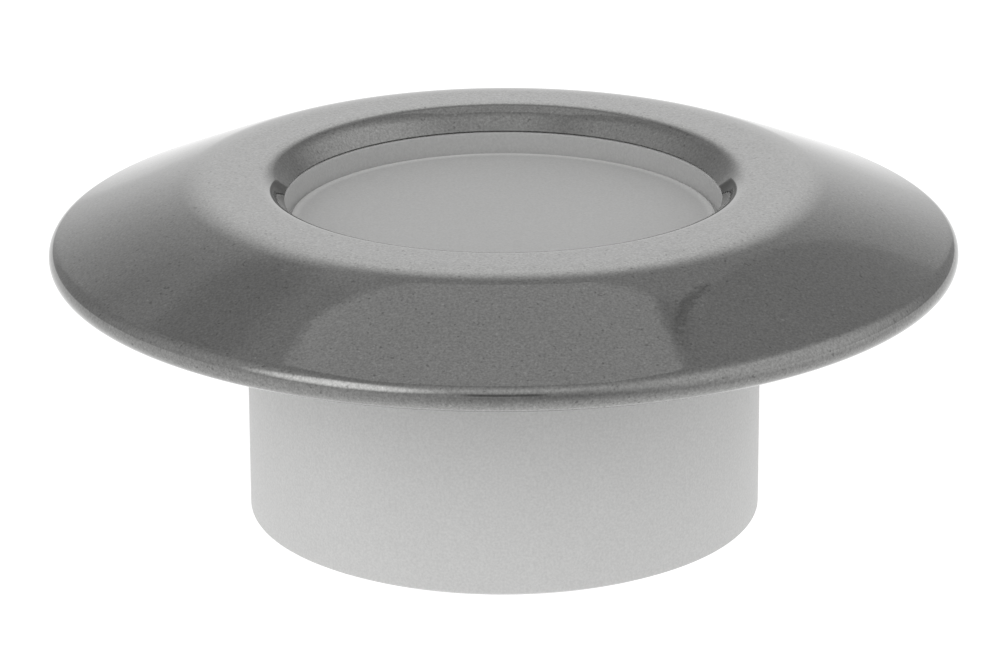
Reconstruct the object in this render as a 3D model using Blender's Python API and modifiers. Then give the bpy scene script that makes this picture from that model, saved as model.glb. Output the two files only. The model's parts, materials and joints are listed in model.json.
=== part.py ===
"""Pipe bushing: a round metal collar over a short plastic sleeve.

The collar has a slightly domed skirt with a round bead at its edge, a rounded shoulder, a
narrow flat top and a rolled lip that turns down into a recess. The sleeve is closed at the
top by a shallow dish, which shows in the recess, and open at the bottom, where its edge is
bevelled. Z = 0 is the sleeve's open end.
"""

import math

import bpy

# Driving sizes of the collar, in metres and degrees
COLLAR_DIAMETER = 0.088
COLLAR_WALL = 0.0010
BEAD_RADIUS = 0.0015
SKIRT_SLOPE_DEG = 23.3
SHOULDER_SLOPE_DEG = 20.8
SKIRT_CURVE_SHARE = 0.455
SHOULDER_RADIUS = 0.0108
TOP_FLAT_WIDTH = 0.0032
LIP_RADIUS = 0.00327
LIP_INSET = 0.0008
RECESS_DEPTH = 0.00225

# Driving sizes of the sleeve
SLEEVE_DIAMETER = 0.050
SLEEVE_WALL = 0.0021
SLEEVE_PROJECTION = 0.0254
SLEEVE_EDGE_RADIUS = 0.0005
END_BEVEL_WIDTH = 0.0010
END_BEVEL_HEIGHT = 0.0005
DISH_DEPTH = 0.0018
DISH_TAPER_DEG = 5.0
DISH_COVE_RADIUS = 0.0005
DISH_THICKNESS = 0.0024
CAVITY_CORNER_RADIUS = 0.0015

# Clearance between the two pieces, and the fineness of the round forms
FIT_GAP = 0.0003
SEGMENTS = 80
ARC_STEP_DEG = 12.0
SHARP_EDGE_DEG = 25.0

# Colours, roughness and metallic value of the two materials
COLLAR_FINISH = ((0.33, 0.33, 0.325, 1.0), 0.12, 1.0)
SLEEVE_FINISH = ((0.55, 0.55, 0.545, 1.0), 0.30, 0.0)

# Places worked out from the driving sizes
slope = math.radians(SKIRT_SLOPE_DEG)
shoulder_slope = math.radians(SHOULDER_SLOPE_DEG)
dish_taper = math.radians(DISH_TAPER_DEG)
collar_radius = COLLAR_DIAMETER / 2
sleeve_radius = SLEEVE_DIAMETER / 2
cavity_radius = sleeve_radius - SLEEVE_WALL
lip_r = sleeve_radius - LIP_INSET
shoulder_r = lip_r + TOP_FLAT_WIDTH
bead_r = collar_radius - BEAD_RADIUS
bead_z = SLEEVE_PROJECTION + BEAD_RADIUS

# The skirt falls from its inner point along an arc to its middle point, then straight to the bead
inner_r = shoulder_r + SHOULDER_RADIUS * math.sin(shoulder_slope)
middle_r = inner_r + SKIRT_CURVE_SHARE * (bead_r - inner_r)
curve_radius = (middle_r - inner_r) / (math.sin(slope) - math.sin(shoulder_slope))
foot_r = bead_r + BEAD_RADIUS * math.sin(slope)
middle_z = bead_z + BEAD_RADIUS * math.cos(slope) + (foot_r - middle_r) * math.tan(slope)
curve_r = middle_r - curve_radius * math.sin(slope)
curve_z = middle_z - curve_radius * math.cos(slope)
shoulder_z = curve_z + (curve_radius - SHOULDER_RADIUS) * math.cos(shoulder_slope)

top_z = shoulder_z + SHOULDER_RADIUS
lip_z = top_z - LIP_RADIUS
flange_z = top_z - RECESS_DEPTH
seat_z = flange_z - FIT_GAP
dish_z = seat_z - DISH_DEPTH
ceiling_z = dish_z - DISH_THICKNESS


def arc(r, z, radius, start_deg, end_deg):
    """Points of an arc about (r, z), from one angle to the other, 0 degrees pointing outwards."""
    steps = max(2, round(abs(end_deg - start_deg) / ARC_STEP_DEG))
    points = []
    for i in range(steps + 1):
        angle = math.radians(start_deg + (end_deg - start_deg) * i / steps)
        points.append((r + radius * math.cos(angle), z + radius * math.sin(angle)))
    return points


def lip_angle(radius, z):
    """Angle on the inner side of a circle about the lip's centre, in degrees, at height z."""
    return 180.0 - math.degrees(math.asin((z - lip_z) / radius))


def collar_profile():
    """Closed section of the collar: over the top, round the bead, back along the underside."""
    shoulder_normal_deg = 90.0 - SHOULDER_SLOPE_DEG
    skirt_normal_deg = 90.0 - SKIRT_SLOPE_DEG
    underside_offset = BEAD_RADIUS - COLLAR_WALL
    bead_end_deg = skirt_normal_deg + math.degrees(math.acos(underside_offset / BEAD_RADIUS)) - 360.0
    under_lip = LIP_RADIUS - COLLAR_WALL
    under_shoulder = SHOULDER_RADIUS - COLLAR_WALL
    under_curve = curve_radius - COLLAR_WALL
    points = arc(lip_r, lip_z, LIP_RADIUS, lip_angle(LIP_RADIUS, flange_z), 90.0)
    points += arc(shoulder_r, shoulder_z, SHOULDER_RADIUS, 90.0, shoulder_normal_deg)
    points += arc(curve_r, curve_z, curve_radius, shoulder_normal_deg, skirt_normal_deg)[1:]
    points += arc(bead_r, bead_z, BEAD_RADIUS, skirt_normal_deg, 0.0)
    points += arc(bead_r, bead_z, BEAD_RADIUS, 0.0, -90.0)[1:]
    points += arc(bead_r, bead_z, BEAD_RADIUS, -90.0, bead_end_deg)[1:]
    points += arc(curve_r, curve_z, under_curve, skirt_normal_deg, shoulder_normal_deg)
    points += arc(shoulder_r, shoulder_z, under_shoulder, shoulder_normal_deg, 90.0)[1:]
    points += arc(lip_r, lip_z, under_lip, 90.0, lip_angle(under_lip, flange_z))
    return points


def sleeve_profile():
    """Open section of the sleeve: from the axis over the dish, down the outside, back to the axis."""
    flange_r = lip_r + LIP_RADIUS * math.cos(math.radians(lip_angle(LIP_RADIUS, flange_z)))
    cove_touch_z = dish_z + DISH_COVE_RADIUS * (1 - math.sin(dish_taper))
    cove_r = flange_r - (seat_z - cove_touch_z) * math.tan(dish_taper)
    cove_r -= DISH_COVE_RADIUS * math.cos(dish_taper)
    crown_radius = LIP_RADIUS - COLLAR_WALL - FIT_GAP
    edge_r = sleeve_radius - SLEEVE_EDGE_RADIUS
    edge_z = lip_z + crown_radius - SLEEVE_EDGE_RADIUS
    corner_r = cavity_radius - CAVITY_CORNER_RADIUS
    corner_z = ceiling_z - CAVITY_CORNER_RADIUS
    points = [(0.0, dish_z)]
    points += arc(cove_r, dish_z + DISH_COVE_RADIUS, DISH_COVE_RADIUS, -90.0, -DISH_TAPER_DEG)
    points.append((flange_r, seat_z))
    points += arc(lip_r, lip_z, crown_radius, lip_angle(crown_radius, seat_z), 90.0)
    points += arc(edge_r, edge_z, SLEEVE_EDGE_RADIUS, 90.0, 0.0)
    points.append((sleeve_radius, END_BEVEL_HEIGHT))
    points.append((sleeve_radius - END_BEVEL_WIDTH, 0.0))
    points.append((cavity_radius, 0.0))
    points += arc(corner_r, corner_z, CAVITY_CORNER_RADIUS, 0.0, 90.0)
    points.append((0.0, ceiling_z))
    return points


def finish(name, colour, roughness, metallic):
    """Principled material of one piece."""
    material = bpy.data.materials.new(name)
    material.use_nodes = True
    shader = material.node_tree.nodes["Principled BSDF"]
    shader.inputs["Base Color"].default_value = colour
    shader.inputs["Roughness"].default_value = roughness
    shader.inputs["Metallic"].default_value = metallic
    return material


def turned(name, profile, closed, material, collection):
    """Turn a section in the XZ plane about the Z axis, and shade its round faces smooth."""
    count = len(profile)
    edges = [(i, i + 1) for i in range(count - 1)]
    if closed:
        edges.append((count - 1, 0))
    section = bpy.data.meshes.new(name + "_section")
    section.from_pydata([(r, 0.0, z) for r, z in profile], edges, [])
    piece = bpy.data.objects.new(name, section)
    collection.objects.link(piece)
    screw = piece.modifiers.new("Turn", "SCREW")
    screw.axis = "Z"
    screw.angle = math.tau
    screw.steps = SEGMENTS
    screw.render_steps = SEGMENTS
    screw.use_merge_vertices = True
    screw.merge_threshold = 0.00001
    bpy.context.view_layer.update()
    depsgraph = bpy.context.evaluated_depsgraph_get()
    turned_mesh = bpy.data.meshes.new_from_object(piece.evaluated_get(depsgraph))
    turned_mesh.name = name
    turned_mesh.shade_smooth()
    turned_mesh.set_sharp_from_angle(angle=math.radians(SHARP_EDGE_DEG))
    turned_mesh.materials.append(material)
    piece.modifiers.clear()
    piece.data = turned_mesh
    bpy.data.meshes.remove(section)
    return piece


def main():
    for old in list(bpy.data.objects):
        bpy.data.objects.remove(old, do_unlink=True)
    collection = bpy.data.collections.new("pipe_bushing")
    bpy.context.scene.collection.children.link(collection)
    turned("collar", collar_profile(), True, finish("collar_metal", *COLLAR_FINISH), collection)
    turned("sleeve", sleeve_profile(), False, finish("sleeve_plastic", *SLEEVE_FINISH), collection)


main()
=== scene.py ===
"""Looks of the pipe bushing: a turned metal collar over a moulded plastic sleeve.

Both pieces are surfaces of revolution about the Z axis. Each is a section, a line of
radius and height, turned on a grid whose two parameters are the place along the section
and the angle round the axis. The script is laid out as a Blender add-on.
"""

import json
import math

import bpy
import numpy as np
from bpy.props import FloatProperty, FloatVectorProperty, IntProperty, PointerProperty
from mathutils import Matrix, Vector

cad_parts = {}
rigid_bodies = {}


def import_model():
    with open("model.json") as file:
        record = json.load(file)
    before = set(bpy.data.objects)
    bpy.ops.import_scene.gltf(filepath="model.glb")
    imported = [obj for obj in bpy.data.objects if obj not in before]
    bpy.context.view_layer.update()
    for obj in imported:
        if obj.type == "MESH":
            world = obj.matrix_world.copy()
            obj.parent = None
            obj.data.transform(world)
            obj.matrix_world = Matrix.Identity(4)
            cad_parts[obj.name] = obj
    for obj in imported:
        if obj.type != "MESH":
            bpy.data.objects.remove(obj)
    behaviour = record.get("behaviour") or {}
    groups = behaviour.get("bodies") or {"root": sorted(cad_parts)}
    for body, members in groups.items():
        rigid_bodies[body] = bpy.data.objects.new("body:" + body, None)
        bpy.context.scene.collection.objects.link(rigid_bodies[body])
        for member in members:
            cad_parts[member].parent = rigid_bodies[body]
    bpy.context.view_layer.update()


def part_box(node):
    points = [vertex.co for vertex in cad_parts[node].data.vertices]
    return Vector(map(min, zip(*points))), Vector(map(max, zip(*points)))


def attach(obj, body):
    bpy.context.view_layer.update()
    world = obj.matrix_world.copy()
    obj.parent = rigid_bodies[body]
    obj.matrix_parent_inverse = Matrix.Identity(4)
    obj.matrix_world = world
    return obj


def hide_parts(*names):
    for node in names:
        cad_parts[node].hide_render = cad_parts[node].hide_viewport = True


bl_info = {
    "name": "Pipe bushing",
    "version": (1, 0, 0),
    "blender": (4, 5, 0),
    "location": "3D View > Sidebar > Bushing",
    "description": "Builds a metal collar, its plastic sleeve and a plain studio",
    "category": "Object",
}

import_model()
collar_low, collar_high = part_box("collar")
sleeve_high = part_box("sleeve")[1]

BODY = "root"
PHOTO_WIDTH = 1000

# Small roundings, in metres: the lip's foot, the recess's edges, the bevel's edges and the open end
FOOT_CHAMFER = 0.00008
RECESS_ROUNDING = 0.00015
BEVEL_ROUNDING = 0.0003
MOUTH_ROUNDING = 0.0002
BEAD_RADIUS = 0.0015
SHARP_EDGE = math.radians(35.0)

# Painted shade that darkens the dish in the recess, which fades out of sight beside the mouth and below the
# floor
DISH_PAINTED_SHADE = 0.72
DISH_SIDE_FADE = (0.0002, 0.0006)
DISH_DEPTH_FADE = (0.0014, 0.0010)

# The painted highlight ring near the dish's wall, along the edge of its floor: its gain, and its start,
# full part and end inside the mouth
HIGHLIGHT_RING_GAIN = 1.3
HIGHLIGHT_RING_INSETS = (0.0016, 0.0008, 0.0005, 0.0003)

# The floor's own glow, and its matt grey that keeps a shadow
FLOOR_GLOW = 0.80
FLOOR_GREY = 0.5


# Properties


class CollarSizes(bpy.types.PropertyGroup):
    """Sizes of the metal collar's section."""

    diameter: FloatProperty(
        name="Diameter",
        description="Across the bead",
        default=2 * collar_high.x,
        unit="LENGTH",
        precision=5,
    )
    top: FloatProperty(
        name="Top",
        description="Height of the flat top",
        default=collar_high.z,
        unit="LENGTH",
        precision=5,
    )
    wall: FloatProperty(
        name="Wall", description="Thickness of the metal", default=0.0010, unit="LENGTH", precision=5
    )
    bead_radius: FloatProperty(
        name="Bead radius",
        description="Round edge of the skirt",
        default=BEAD_RADIUS,
        unit="LENGTH",
        precision=5,
    )
    skirt_slope: FloatProperty(
        name="Skirt slope",
        description="Fall of the skirt at the bead",
        default=math.radians(23.3),
        subtype="ANGLE",
    )
    shoulder_slope: FloatProperty(
        name="Shoulder slope",
        description="Fall where the shoulder runs into the skirt",
        default=math.radians(20.8),
        subtype="ANGLE",
    )
    domed_share: FloatProperty(
        name="Domed share",
        description="Share of the skirt that is domed",
        default=0.68,
        subtype="FACTOR",
    )
    bead_height: FloatProperty(
        name="Bead height",
        description="Height of the bead's middle",
        default=collar_low.z + BEAD_RADIUS,
        unit="LENGTH",
        precision=5,
    )
    shoulder_radius: FloatProperty(
        name="Shoulder radius",
        description="Rounding from the flat top to the skirt",
        default=0.0108,
        unit="LENGTH",
        precision=5,
    )
    shoulder_place: FloatProperty(
        name="Shoulder place",
        description="Distance from the axis at which the level top ends",
        default=0.0274,
        unit="LENGTH",
        precision=5,
    )
    lip_radius: FloatProperty(
        name="Lip radius",
        description="Roll of the metal into the recess",
        default=0.0026,
        unit="LENGTH",
        precision=5,
    )
    lip_lean: FloatProperty(
        name="Lip lean",
        description="Lean of the lip's wall from the upright",
        default=math.radians(39.0),
        subtype="ANGLE",
    )
    mouth_radius: FloatProperty(
        name="Mouth radius",
        description="Foot of the lip, where the dish shows",
        default=0.0211,
        unit="LENGTH",
        precision=5,
    )
    recess_depth: FloatProperty(
        name="Recess depth",
        description="Fall of the rolled lip",
        default=0.00225,
        unit="LENGTH",
        precision=5,
    )
    segments: IntProperty(name="Segments", description="Steps round the axis", default=360, min=24)


class SleeveSizes(bpy.types.PropertyGroup):
    """Sizes of the plastic sleeve's section."""

    diameter: FloatProperty(
        name="Diameter",
        description="Outside of the sleeve",
        default=2 * sleeve_high.x,
        unit="LENGTH",
        precision=5,
    )
    wall: FloatProperty(
        name="Wall", description="Thickness of the tube", default=0.0021, unit="LENGTH", precision=5
    )
    dish_depth: FloatProperty(
        name="Dish depth",
        description="Fall of the closed top",
        default=0.0020,
        unit="LENGTH",
        precision=5,
    )
    dish_taper: FloatProperty(
        name="Dish taper",
        description="Lean of the dish's wall",
        default=math.radians(3.0),
        subtype="ANGLE",
    )
    dish_edge: FloatProperty(
        name="Dish edge",
        description="Rounding at the edge of the floor",
        default=0.00018,
        unit="LENGTH",
        precision=5,
    )
    groove: FloatProperty(
        name="Groove",
        description="Depth of the line round the floor",
        default=0.00035,
        unit="LENGTH",
        precision=5,
    )
    dish_thickness: FloatProperty(
        name="Dish thickness",
        description="Thickness of the closed top",
        default=0.0024,
        unit="LENGTH",
        precision=5,
    )
    edge_radius: FloatProperty(
        name="Edge radius",
        description="Rounding under the collar",
        default=0.0005,
        unit="LENGTH",
        precision=5,
    )
    bevel_width: FloatProperty(
        name="Bevel width",
        description="Width of the open end's bevel",
        default=0.0010,
        unit="LENGTH",
        precision=5,
    )
    bevel_height: FloatProperty(
        name="Bevel height",
        description="Height of the open end's bevel",
        default=0.0005,
        unit="LENGTH",
        precision=5,
    )
    cavity_radius: FloatProperty(
        name="Cavity corner",
        description="Rounding inside, at the top",
        default=0.0015,
        unit="LENGTH",
        precision=5,
    )
    fit_gap: FloatProperty(
        name="Fit gap",
        description="Clearance to the collar",
        default=0.0001,
        unit="LENGTH",
        precision=5,
    )
    segments: IntProperty(name="Segments", description="Steps round the axis", default=360, min=24)


class Finishes(bpy.types.PropertyGroup):
    """Colours and gloss of the two materials."""

    metal_colour: FloatVectorProperty(
        name="Metal",
        description="Colour of the polished metal",
        subtype="COLOR",
        default=(0.254, 0.254, 0.25),
    )
    metal_roughness: FloatProperty(
        name="Metal roughness",
        description="Blur of the metal's reflections",
        default=0.05,
        subtype="FACTOR",
    )
    plastic_colour: FloatVectorProperty(
        name="Plastic",
        description="Colour of the moulded plastic",
        subtype="COLOR",
        default=(0.67, 0.67, 0.664),
    )
    plastic_roughness: FloatProperty(
        name="Plastic roughness",
        description="Blur of the plastic's gloss",
        default=0.45,
        subtype="FACTOR",
    )


class StageSizes(bpy.types.PropertyGroup):
    """The camera and the floor."""

    camera_distance: FloatProperty(
        name="Camera distance",
        description="From the bead's plane on the axis",
        default=0.4805,
        unit="LENGTH",
    )
    camera_height: FloatProperty(
        name="Camera elevation",
        description="Elevation of the camera above the bead's plane",
        default=math.radians(18.519),
        subtype="ANGLE",
    )
    focal_pixels: FloatProperty(
        name="Focal length", description="In pixels of the picture", default=4951.0, subtype="PIXEL"
    )
    camera_yaw: FloatProperty(
        name="Yaw",
        description="Aim to the right of the axis",
        default=math.radians(-0.047),
        subtype="ANGLE",
    )
    camera_pitch: FloatProperty(
        name="Pitch",
        description="Aim below the bead's plane",
        default=math.radians(0.939),
        subtype="ANGLE",
    )
    camera_roll: FloatProperty(
        name="Roll",
        description="Turn about the line of sight",
        default=math.radians(-0.225),
        subtype="ANGLE",
    )
    light_level: FloatProperty(
        name="Light level", description="Brightness of the room's light", default=1.3, subtype="FACTOR"
    )
    floor_size: FloatProperty(
        name="Floor size", description="Side of the floor", default=6.0, unit="LENGTH"
    )


# Surfaces


def arc(r, z, radius, start, end, count):
    """Points of an arc: the centre plus the radius times the cosine and sine of evenly spaced angles."""
    angle = np.linspace(start, end, count)
    return np.stack([r + radius * np.cos(angle), z + radius * np.sin(angle)], axis=1)


def line(start, end, count):
    """Points of a straight line: the start plus even shares of the way to the end, without both ends."""
    share = np.linspace(0.0, 1.0, count + 2)[1:-1, None]
    return np.array(start) * (1.0 - share) + np.array(end) * share


def turned_surface(name, section, segments, closed):
    """Turn a section about Z: x = r cos a, y = r sin a, z = z, for its every r and z and every angle a.

    A closed section gives a ring. An open one starts and ends on the axis, where one point and a fan
    of triangles close each pole.
    """
    angle = np.arange(segments) * (math.tau / segments)
    rings = section if closed else section[1:-1]
    radius = rings[:, 0, None]
    height = np.broadcast_to(rings[:, 1, None], (len(rings), segments))
    grid = np.stack([radius * np.cos(angle), radius * np.sin(angle), height], axis=-1)
    vertices = grid.reshape(-1, 3)
    index = np.arange(len(rings) * segments).reshape(len(rings), segments)
    here = index if closed else index[:-1]
    below = np.roll(index, -1, axis=0) if closed else index[1:]
    quads = np.stack([here, below, np.roll(below, -1, axis=1), np.roll(here, -1, axis=1)], axis=-1)
    faces = quads.reshape(-1, 4).tolist()
    if not closed:
        poles = np.zeros((2, 3))
        poles[:, 2] = section[[0, -1], 1]
        vertices = np.concatenate([vertices, poles])
        first, last = len(vertices) - 2, len(vertices) - 1
        top = np.stack([np.full(segments, first), index[0], np.roll(index[0], -1)], axis=-1)
        end = np.stack([np.full(segments, last), np.roll(index[-1], -1), index[-1]], axis=-1)
        faces += top.tolist() + end.tolist()
    mesh = bpy.data.meshes.new(name)
    mesh.from_pydata(vertices, [], faces)
    mesh.validate()
    mesh.shade_smooth()
    mesh.set_sharp_from_angle(angle=SHARP_EDGE)
    piece = bpy.data.objects.new(name, mesh)
    bpy.context.scene.collection.objects.link(piece)
    return piece


def lip_middle(c):
    """Middle of the lip's roll: the mouth's radius plus the run of the leaning wall and of the roll."""
    roll_fall = c.lip_radius * (1 - math.sin(c.lip_lean))
    wall_run = (c.recess_depth - roll_fall) * math.tan(c.lip_lean)
    lip_r = c.mouth_radius + wall_run + c.lip_radius * math.cos(c.lip_lean)
    return lip_r, c.top - c.lip_radius


def lip_line(c, offset, foot_z, count):
    """The lip's line moved into the metal by an offset: the foot, the leaning wall and the roll.

    The foot lies on the leaning wall: the start of the roll's arc less the fall times the lean's tangent.
    """
    lip_r, lip_z = lip_middle(c)
    roll = arc(lip_r, lip_z, c.lip_radius - offset, math.pi - c.lip_lean, math.pi / 2, count)
    foot = np.array([[roll[0, 0] - (roll[0, 1] - foot_z) * math.tan(c.lip_lean), foot_z]])
    return np.concatenate([foot, line(foot[0], roll[0], 6), roll])


def moved(points, distance):
    """Points moved to the right of their line: each plus the distance times the line's square direction."""
    way = np.gradient(points, axis=0)
    way /= np.linalg.norm(way, axis=1, keepdims=True)
    return points + distance * np.stack([way[:, 1], -way[:, 0]], axis=1)


def skirt_line(s, inner_r, foot_r, foot_z, count):
    """The skirt's line. Its slope eases from the shoulder's to the skirt's with the square of what is left.

    The height is the foot's plus the sum of the falls from there, each the slope's tangent times a step.
    """
    radius = np.linspace(inner_r, foot_r, count)
    left = np.clip(1.0 - (radius - inner_r) / (s.domed_share * (foot_r - inner_r)), 0.0, 1.0)
    fall = np.tan(s.skirt_slope + (s.shoulder_slope - s.skirt_slope) * left**2)
    steps = np.diff(radius) * (fall[1:] + fall[:-1]) / 2
    height = foot_z + steps.sum() - np.concatenate([[0.0], np.cumsum(steps)])
    return np.stack([radius, height], axis=1)


def collar_section(s):
    """Closed line round the collar: lip, flat top, shoulder, domed skirt and bead, then back underneath."""
    quarter = math.pi / 2
    shoulder_r = s.shoulder_place
    shoulder_z = s.top - s.shoulder_radius
    shoulder_normal = quarter - s.shoulder_slope
    skirt_normal = quarter - s.skirt_slope
    shoulder = arc(shoulder_r, shoulder_z, s.shoulder_radius, quarter, shoulder_normal, 33)
    bead_r = s.diameter / 2 - s.bead_radius
    bead_z = s.bead_height
    bead_end = skirt_normal + math.acos((s.bead_radius - s.wall) / s.bead_radius) - math.tau
    bead = arc(bead_r, bead_z, s.bead_radius, skirt_normal, bead_end, 49)
    skirt = skirt_line(s, shoulder[-1, 0], bead[0, 0], bead[0, 1], 41)
    # The skirt meets the shoulder's end exactly, and its underside stops where the bead begins
    skirt[:, 1] += (shoulder[-1, 1] - skirt[0, 1]) * np.linspace(1.0, 0.0, len(skirt))
    under_skirt = moved(skirt, s.wall)[::-4]
    under_skirt = under_skirt[under_skirt[:, 0] < bead[-1, 0] - s.wall]
    inner_radius = s.shoulder_radius - s.wall
    under_shoulder = arc(shoulder_r, shoulder_z, inner_radius, shoulder_normal, quarter, 13)[1:]
    foot_z = s.top - s.recess_depth
    lip = lip_line(s, 0.0, foot_z + FOOT_CHAMFER, 25)
    under_lip = lip_line(s, s.wall, foot_z + FOOT_CHAMFER, 9)[::-1]
    parts = [
        lip,
        line(lip[-1], shoulder[0], 5),
        shoulder,
        skirt[1:-1],
        bead,
        line(bead[-1], under_skirt[0], 3),
        under_skirt,
        under_shoulder,
        under_lip,
        np.array([[under_lip[-1, 0] - FOOT_CHAMFER, foot_z], [lip[0, 0] + FOOT_CHAMFER, foot_z]]),
    ]
    return np.concatenate(parts)


def dish_heights(s, c):
    """Heights of the dish's rim and floor: the lip's foot less the gap, and that less the dish's depth."""
    seat_z = c.top - c.recess_depth - s.fit_gap
    return seat_z, seat_z - s.dish_depth


def sleeve_section(s, c):
    """Open line of the sleeve: dish floor, groove, dish wall, rim, crown, outside, open end and cavity.

    Each rounding is an arc that touches its two neighbours. At the bevel an arc's start lies its radius
    times the tangent of half the turn away from the corner.
    """
    quarter = math.pi / 2
    rim_r = c.mouth_radius
    seat_z, dish_z = dish_heights(s, c)
    ceiling_z = dish_z - s.dish_thickness
    radius = s.diameter / 2
    cavity = radius - s.wall
    slope = math.tan(s.dish_taper)

    groove_z = dish_z - s.groove
    wall_r = rim_r - (seat_z - groove_z) * slope
    round_r = RECESS_ROUNDING
    floor_r = wall_r - 2 * round_r
    floor = arc(floor_r - s.dish_edge, dish_z - s.dish_edge, s.dish_edge, quarter, 0.0, 9)
    groove = arc(floor_r + round_r, groove_z + round_r, round_r, -math.pi, 0.0, 7)
    rim = arc(rim_r + round_r, seat_z - round_r, round_r, math.pi - s.dish_taper, quarter, 5)
    crown = lip_line(c, c.wall + s.fit_gap, seat_z, 9)
    edge_z = crown[-1, 1] - s.edge_radius
    shoulder = arc(radius - s.edge_radius, edge_z, s.edge_radius, quarter, 0.0, 9)
    bevel = math.atan2(s.bevel_height, s.bevel_width)
    soft = BEVEL_ROUNDING
    reach = soft * math.tan((quarter - bevel) / 2)
    bevel_top = arc(radius - soft, s.bevel_height + reach, soft, 0.0, bevel - quarter, 7)
    reach = soft * math.tan(bevel / 2)
    bevel_foot = arc(radius - s.bevel_width - reach, soft, soft, bevel - quarter, -quarter, 5)
    corner_r = cavity - s.cavity_radius
    corner = arc(corner_r, ceiling_z - s.cavity_radius, s.cavity_radius, 0.0, quarter, 9)
    mouth = arc(cavity + MOUTH_ROUNDING, MOUTH_ROUNDING, MOUTH_ROUNDING, -quarter, -math.pi, 4)
    parts = [
        np.array([[0.0, dish_z]]),
        line((0.0, dish_z), floor[0], 10),
        floor,
        groove,
        line(groove[-1], rim[0], 4),
        rim,
        crown,
        shoulder,
        line(shoulder[-1], bevel_top[0], 12),
        bevel_top,
        bevel_foot,
        mouth,
        line(mouth[-1], corner[0], 8),
        corner,
        line(corner[-1], (0.0, ceiling_z), 6),
        np.array([[0.0, ceiling_z]]),
    ]
    return np.concatenate(parts)


# Materials


def new_node(tree, kind, settings=None, **inputs):
    """A node with its settings, and its inputs set to a number or linked to a socket."""
    node = tree.nodes.new(kind)
    for key, value in (settings or {}).items():
        setattr(node, key, value)
    for key, value in inputs.items():
        socket = node.inputs[key.replace("_", " ")]
        if isinstance(value, bpy.types.NodeSocket):
            tree.links.new(value, socket)
        else:
            socket.default_value = value
    return node


def maths(tree, operation, first, second=None):
    """A Math node's result."""
    node = tree.nodes.new("ShaderNodeMath")
    node.operation = operation
    for socket, value in zip(node.inputs, (first, second)):
        if isinstance(value, bpy.types.NodeSocket):
            tree.links.new(value, socket)
        elif value is not None:
            socket.default_value = value
    return node.outputs[0]


def ramp(tree, value, low, high, start=0.0, end=1.0, smooth=True):
    """Map a value from the range low to high onto start to end, with soft ends unless smooth is off."""
    kind = "SMOOTHSTEP" if smooth else "LINEAR"
    node = new_node(tree, "ShaderNodeMapRange", {"interpolation_type": kind})
    tree.links.new(value, node.inputs["Value"])
    for key, number in (("From Min", low), ("From Max", high), ("To Min", start), ("To Max", end)):
        if isinstance(number, bpy.types.NodeSocket):
            tree.links.new(number, node.inputs[key])
        else:
            node.inputs[key].default_value = number
    return node.outputs["Result"]


def noise(tree, place, scale, detail=2.0, roughness=0.5):
    """Noise of a given number of lumps a metre, from 0 to 1."""
    node = new_node(
        tree, "ShaderNodeTexNoise", Vector=place, Scale=scale, Detail=detail, Roughness=roughness
    )
    return node.outputs["Fac"]


def new_material(name):
    """An empty node material with its Principled shader and Object coordinates."""
    material = bpy.data.materials.new(name)
    material.use_nodes = True
    tree = material.node_tree
    shader = tree.nodes["Principled BSDF"]
    place = tree.nodes.new("ShaderNodeTexCoord").outputs["Object"]
    return material, tree, shader, place


def shade(tree, colour, factor):
    """A colour times a factor, as a socket."""
    node = new_node(tree, "ShaderNodeMix", {"data_type": "RGBA", "blend_type": "MULTIPLY"})
    node.inputs[0].default_value = 1.0
    node.inputs[6].default_value = (*colour, 1.0)
    tree.links.new(factor, node.inputs[7])
    return node.outputs[2]


def metal_material(finish):
    """Polished metal: faint blotches, fine grain, small light and dark pits, and an uneven polish."""
    material, tree, shader, place = new_material("polished_metal")
    grain = ramp(tree, noise(tree, place, 4200.0, 3.0, 0.7), 0.3, 0.7, 0.75, 1.25, False)
    cloud = ramp(tree, noise(tree, place, 160.0, 4.0), 0.3, 0.7, 0.985, 1.015, False)
    dark_pits = ramp(tree, noise(tree, place, 2100.0, 1.0), 0.24, 0.31, 0.72, 1.0)
    light_pits = ramp(tree, noise(tree, place, 2300.0, 1.0), 0.69, 0.76, 1.0, 1.22)
    factor = maths(tree, "MULTIPLY", grain, cloud)
    factor = maths(tree, "MULTIPLY", factor, dark_pits)
    factor = maths(tree, "MULTIPLY", factor, light_pits)
    tree.links.new(shade(tree, finish.metal_colour, factor), shader.inputs["Base Color"])
    shader.inputs["Metallic"].default_value = 1.0
    rough = finish.metal_roughness
    blur = ramp(tree, noise(tree, place, 900.0, 3.0), 0.3, 0.7, rough * 0.8, rough * 1.25, False)
    tree.links.new(blur, shader.inputs["Roughness"])
    relief = noise(tree, place, 700.0, 2.0)
    bump = new_node(tree, "ShaderNodeBump", Height=relief, Strength=0.05, Distance=0.0001)
    tree.links.new(bump.outputs["Normal"], shader.inputs["Normal"])
    return material


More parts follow.
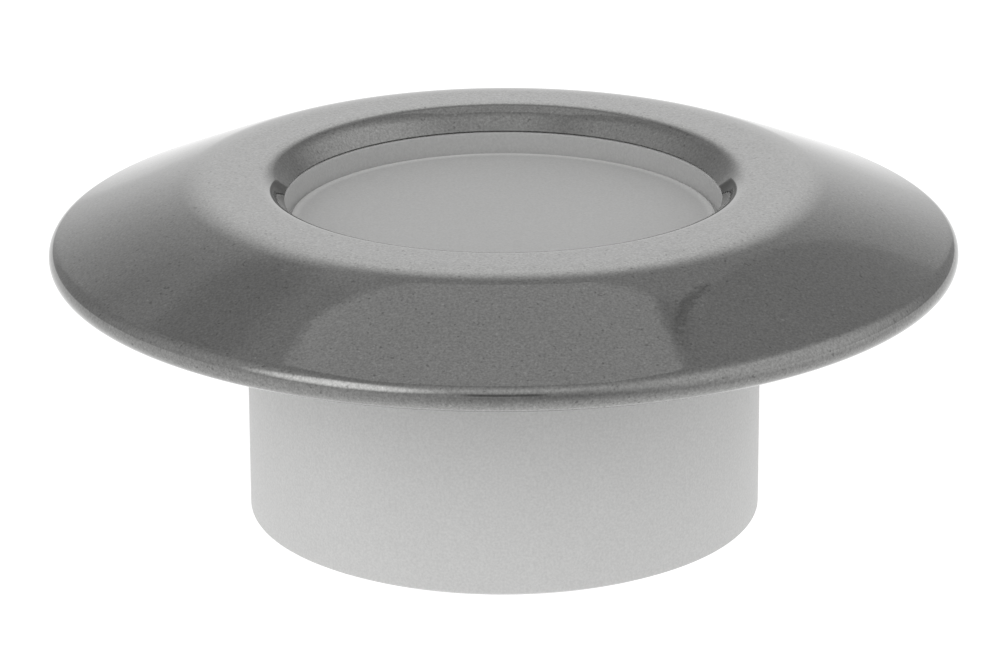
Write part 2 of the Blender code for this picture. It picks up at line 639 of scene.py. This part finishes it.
def plastic_material(finish, collar, sleeve):
    """Moulded plastic: an even grey with very fine grain and a soft gloss.

    The dish is darkened with painted shade, and a painted highlight ring runs along the edge of its floor.
    """
    material, tree, shader, place = new_material("moulded_plastic")
    grain = ramp(tree, noise(tree, place, 4400.0, 2.0, 0.6), 0.3, 0.7, 0.93, 1.07, False)
    cloud = ramp(tree, noise(tree, place, 90.0, 3.0), 0.3, 0.7, 0.99, 1.01, False)
    factor = maths(tree, "MULTIPLY", grain, cloud)
    parts = new_node(tree, "ShaderNodeSeparateXYZ", Vector=place)
    square_x = maths(tree, "POWER", parts.outputs["X"], 2.0)
    square_y = maths(tree, "POWER", parts.outputs["Y"], 2.0)
    radius = maths(tree, "SQRT", maths(tree, "ADD", square_x, square_y))
    # Painted highlight: a paler ring along the edge of the dish's floor
    start, full_start, full_end, end = (collar.mouth_radius - inset for inset in HIGHLIGHT_RING_INSETS)
    ring = ramp(tree, radius, start, full_start)
    ring = maths(tree, "MULTIPLY", ring, ramp(tree, radius, full_end, end, 1.0, 0.0))
    factor = maths(tree, "MULTIPLY", factor, ramp(tree, ring, 0.0, 1.0, 1.0, HIGHLIGHT_RING_GAIN, False))
    # Painted shade: the dish's grey is drawn darker, fading out beside the mouth and below the floor
    full, end = (collar.mouth_radius + margin for margin in DISH_SIDE_FADE)
    dish = ramp(tree, radius, full, end, 1.0, 0.0)
    start, full = (dish_heights(sleeve, collar)[1] - margin for margin in DISH_DEPTH_FADE)
    dish = maths(tree, "MULTIPLY", dish, ramp(tree, parts.outputs["Z"], start, full))
    factor = maths(tree, "MULTIPLY", factor, ramp(tree, dish, 0.0, 1.0, 1.0, DISH_PAINTED_SHADE, False))
    tree.links.new(shade(tree, finish.plastic_colour, factor), shader.inputs["Base Color"])
    shader.inputs["Specular IOR Level"].default_value = 0.1
    shader.inputs["IOR"].default_value = 1.5
    rough = finish.plastic_roughness
    blur = ramp(tree, noise(tree, place, 1500.0, 2.0), 0.3, 0.7, rough * 0.9, rough * 1.1, False)
    tree.links.new(blur, shader.inputs["Roughness"])
    return material


def floor_material():
    """White floor: a glow and a matt part, which keeps a faint shadow. From below it is clear."""
    material = bpy.data.materials.new("white_floor")
    material.use_nodes = True
    tree = material.node_tree
    tree.nodes.remove(tree.nodes["Principled BSDF"])
    matt = new_node(tree, "ShaderNodeBsdfDiffuse", Color=(FLOOR_GREY, FLOOR_GREY, FLOOR_GREY, 1.0))
    glow = new_node(tree, "ShaderNodeEmission", Strength=FLOOR_GLOW)
    both = new_node(tree, "ShaderNodeAddShader")
    tree.links.new(matt.outputs[0], both.inputs[0])
    tree.links.new(glow.outputs[0], both.inputs[1])
    clear = new_node(tree, "ShaderNodeBsdfTransparent")
    side = new_node(tree, "ShaderNodeNewGeometry").outputs["Backfacing"]
    mix = new_node(tree, "ShaderNodeMixShader")
    tree.links.new(side, mix.inputs[0])
    tree.links.new(both.outputs[0], mix.inputs[1])
    tree.links.new(clear.outputs[0], mix.inputs[2])
    tree.links.new(mix.outputs[0], tree.nodes["Material Output"].inputs["Surface"])
    return material


# Studio light


def along(tree, direction, axis):
    """How far a direction points along an axis, as a socket."""
    node = new_node(tree, "ShaderNodeVectorMath", {"operation": "DOT_PRODUCT"})
    tree.links.new(direction, node.inputs[0])
    node.inputs[1].default_value = axis
    return node.outputs["Value"]


def facing(azimuth, elevation, lean=0.0):
    """The turn that points +Y at an azimuth, from +Y towards +X, and an elevation, with a lean."""
    turn = Matrix.Rotation(math.radians(-azimuth), 3, "Z")
    turn = turn @ Matrix.Rotation(math.radians(elevation), 3, "X")
    return turn @ Matrix.Rotation(math.radians(lean), 3, "Y")


def card(tree, direction, below, azimuth, elevation, sides, heights, value, lean=0.0):
    """Lay a soft-edged card over the light below it: that light mixed with the card's by its mask.

    The card stands square to the direction of its azimuth and elevation, in degrees. Sides and heights
    are each (start, full, full, end), as shares of its distance. Value is its brightness, or (low, high,
    start, end) for a brightness that runs from start to end between two heights.
    """
    turn = facing(azimuth, elevation, lean)
    x, y, z = (along(tree, direction, turn.col[i]) for i in range(3))
    ahead = maths(tree, "MAXIMUM", y, 0.02)
    mask = maths(tree, "GREATER_THAN", y, 0.02)
    rise = maths(tree, "DIVIDE", z, ahead)
    for share, limits in ((maths(tree, "DIVIDE", x, ahead), sides), (rise, heights)):
        start, full_start, full_end, end = limits
        mask = maths(tree, "MULTIPLY", mask, ramp(tree, share, start, full_start))
        mask = maths(tree, "MULTIPLY", mask, ramp(tree, share, full_end, end, 1.0, 0.0))
    if isinstance(value, tuple):
        value = ramp(tree, rise, *value, smooth=False)
    mix = new_node(tree, "ShaderNodeMix", {"data_type": "FLOAT"}, Factor=mask)
    tree.links.new(below, mix.inputs[2])
    if isinstance(value, bpy.types.NodeSocket):
        tree.links.new(value, mix.inputs[3])
    else:
        mix.inputs[3].default_value = value
    return mix.outputs[0]


def glow(tree, direction, below, azimuth, elevation, spread, gain):
    """Add a round glow to the light below it: the gain, easing to nothing at the spread, in degrees."""
    nearness = along(tree, direction, facing(azimuth, elevation).col[1])
    edge = math.cos(math.radians(spread))
    return maths(tree, "ADD", below, ramp(tree, nearness, edge, 1.0, 0.0, gain))


def studio_world(level):
    """World light: a pale table below, dim walls, a lit backdrop, an overhead panel and side lights."""
    world = bpy.data.worlds.new("studio")
    world.use_nodes = True
    tree = world.node_tree
    tree.nodes.clear()
    direction = tree.nodes.new("ShaderNodeTexCoord").outputs["Generated"]
    parts = new_node(tree, "ShaderNodeSeparateXYZ", Vector=direction)
    height, away = parts.outputs["Z"], parts.outputs["Y"]
    # Pale table, a little brighter at the far side, and an even dim room above it
    table = ramp(tree, height, -1.0, -0.1, 0.93, 0.57, False)
    table = maths(tree, "ADD", table, maths(tree, "MULTIPLY", away, 0.20))
    light = ramp(tree, height, -0.03, 0.03, table, 0.365)
    # Broad light from the right, and a broad and a narrow one from behind the camera's left
    light = glow(tree, direction, light, 107.0, 32.0, 62.0, 0.45)
    light = glow(tree, direction, light, -123.5, 18.0, 75.0, 0.22)
    light = glow(tree, direction, light, -137.5, 30.0, 28.0, 1.08)
    # Pale wall behind the camera
    sides, heights = (-0.54, -0.10, 0.10, 0.54), (-0.63, 0.11, 0.33, 2.1)
    light = card(tree, direction, light, 180.0, 50.0, sides, heights, 0.88)
    # Soft ceiling light
    sides, heights = (-0.75, -0.43, 0.17, 0.90), (-0.60, -0.50, 0.0, 1.2)
    light = card(tree, direction, light, 0.0, 90.0, sides, heights, 0.40)
    # Grey screen behind the object, with a sharp leaning edge at its right
    sides, heights = (-0.61, -0.50, 0.386, 0.398), (-0.05, 0.10, 1.62, 1.66)
    light = card(tree, direction, light, 0.0, 0.0, sides, heights, 0.43, lean=5.0)
    # Lit backdrop, brighter towards its top
    sides, heights = (-0.50, -0.08, 0.12, 0.495), (-0.12, -0.02, 0.66, 1.33)
    light = card(tree, direction, light, 0.0, 0.0, sides, heights, (0.0, 0.73, 0.72, 1.09))
    # Overhead panel
    sides, heights = (-0.36, -0.31, 0.262, 0.272), (-0.625, -0.605, 0.08, 0.12)
    light = card(tree, direction, light, 0.0, 90.0, sides, heights, 0.55)
    # Thin dark rod beside the panel
    sides, heights = (0.0, 0.003, 0.009, 0.012), (-0.86, -0.83, -0.66, -0.61)
    light = card(tree, direction, light, 0.0, 90.0, sides, heights, 0.22, lean=-26.2)
    # Dim round patch at the left, with a paler ring
    light = glow(tree, direction, light, -30.0, 45.0, 16.0, 0.05)
    light = glow(tree, direction, light, -30.0, 45.0, 8.0, -0.08)
    # Dark square straight in front
    sides, heights = (-0.20, -0.12, 0.12, 0.20), (-0.17, -0.09, 0.09, 0.17)
    light = card(tree, direction, light, 180.0, 16.0, sides, heights, 0.22)
    light = maths(tree, "MULTIPLY", light, level)
    seen = tree.nodes.new("ShaderNodeLightPath").outputs["Is Camera Ray"]
    mix = new_node(tree, "ShaderNodeMix", {"data_type": "FLOAT"}, Factor=seen)
    tree.links.new(light, mix.inputs[2])
    mix.inputs[3].default_value = 1.0
    white = (1.0, 1.0, 1.0, 1.0)
    background = new_node(tree, "ShaderNodeBackground", Color=white, Strength=mix.outputs[0])
    output = tree.nodes.new("ShaderNodeOutputWorld")
    tree.links.new(background.outputs[0], output.inputs["Surface"])
    bpy.context.scene.world = world


def place_camera(s, bead_z):
    """Stand the camera on the photograph's line of sight, with its own small yaw, pitch and roll."""
    data = bpy.data.cameras.new("camera")
    data.sensor_width = 36.0
    data.lens = s.focal_pixels / PHOTO_WIDTH * data.sensor_width
    data.clip_start = 0.01
    data.clip_end = 20.0
    camera = bpy.data.objects.new("camera", data)
    bpy.context.scene.collection.objects.link(camera)
    fall = s.camera_height + s.camera_pitch
    level = math.cos(fall)
    yaw = s.camera_yaw
    forward = Vector((math.sin(yaw) * level, math.cos(yaw) * level, -math.sin(fall)))
    right = Vector((math.cos(yaw), -math.sin(yaw), 0.0))
    up = right.cross(forward)
    cosine, sine = math.cos(s.camera_roll), math.sin(s.camera_roll)
    across = cosine * right + sine * up
    upward = cosine * up - sine * right
    turn = Matrix((across, upward, -forward)).transposed()
    reach = s.camera_distance * math.cos(s.camera_height)
    rise = s.camera_distance * math.sin(s.camera_height)
    stand = Vector((0.0, -reach, bead_z + rise))
    camera.matrix_world = Matrix.Translation(stand) @ turn.to_4x4()
    bpy.context.scene.camera = camera


# Operators


class BUSHING_OT_collar(bpy.types.Operator):
    """Build the metal collar in place of its CAD node"""

    bl_idname = "bushing.collar"
    bl_label = "Build collar"

    def execute(self, context):
        scene = context.scene
        section = collar_section(scene.collar)
        piece = turned_surface("collar_shell", section, scene.collar.segments, True)
        piece.data.materials.append(metal_material(scene.finishes))
        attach(piece, BODY)
        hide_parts("collar")
        return {"FINISHED"}


class BUSHING_OT_sleeve(bpy.types.Operator):
    """Build the plastic sleeve in place of its CAD node"""

    bl_idname = "bushing.sleeve"
    bl_label = "Build sleeve"

    def execute(self, context):
        scene = context.scene
        section = sleeve_section(scene.sleeve, scene.collar)
        piece = turned_surface("sleeve_shell", section, scene.sleeve.segments, False)
        piece.data.materials.append(plastic_material(scene.finishes, scene.collar, scene.sleeve))
        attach(piece, BODY)
        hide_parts("sleeve")
        return {"FINISHED"}


class BUSHING_OT_stage(bpy.types.Operator):
    """Build the floor, the studio light and the camera"""

    bl_idname = "bushing.stage"
    bl_label = "Build stage"

    def execute(self, context):
        s = context.scene.stage
        half = s.floor_size / 2
        corners = half * np.array([[-1.0, -1.0, 0.0], [1.0, -1.0, 0.0], [1.0, 1.0, 0.0], [-1.0, 1.0, 0.0]])
        mesh = bpy.data.meshes.new("floor")
        mesh.from_pydata(corners, [], [(0, 1, 2, 3)])
        mesh.materials.append(floor_material())
        floor = bpy.data.objects.new("floor", mesh)
        context.scene.collection.objects.link(floor)
        floor.visible_diffuse = False
        floor.visible_glossy = False
        floor.visible_transmission = False
        studio_world(s.light_level)
        place_camera(s, context.scene.collar.bead_height)
        context.scene.view_settings.view_transform = "Standard"
        return {"FINISHED"}


class BUSHING_PT_panel(bpy.types.Panel):
    """Lists the sizes, finishes and build steps"""

    bl_idname = "BUSHING_PT_panel"
    bl_label = "Pipe bushing"
    bl_space_type = "VIEW_3D"
    bl_region_type = "UI"
    bl_category = "Bushing"

    def draw(self, context):
        scene = context.scene
        for group, operator in (
            (scene.collar, BUSHING_OT_collar),
            (scene.sleeve, BUSHING_OT_sleeve),
            (scene.stage, BUSHING_OT_stage),
            (scene.finishes, None),
        ):
            column = self.layout.column(align=True)
            for key in group.bl_rna.properties.keys():
                if key not in {"rna_type", "name"}:
                    column.prop(group, key)
            if operator:
                self.layout.operator(operator.bl_idname)


GROUPS = {"collar": CollarSizes, "sleeve": SleeveSizes, "finishes": Finishes, "stage": StageSizes}
OPERATORS = (BUSHING_OT_collar, BUSHING_OT_sleeve, BUSHING_OT_stage)


def register():
    """Register the classes and hang the settings on the scene."""
    for name, group in GROUPS.items():
        bpy.utils.register_class(group)
        setattr(bpy.types.Scene, name, PointerProperty(type=group))
    for item in OPERATORS:
        bpy.utils.register_class(item)
    bpy.utils.register_class(BUSHING_PT_panel)


def unregister():
    """Undo register, in the opposite order."""
    bpy.utils.unregister_class(BUSHING_PT_panel)
    for item in reversed(OPERATORS):
        bpy.utils.unregister_class(item)
    for name, group in GROUPS.items():
        delattr(bpy.types.Scene, name)
        bpy.utils.unregister_class(group)


def main():
    """Build the part and its stage in an emptied scene."""
    register()
    for old in [o for o in bpy.data.objects if o.name in ("Cube", "Light", "Camera")]:
        bpy.data.objects.remove(old)
    bpy.ops.bushing.collar()
    bpy.ops.bushing.sleeve()
    bpy.ops.bushing.stage()


if __name__ == "__main__":
    main()
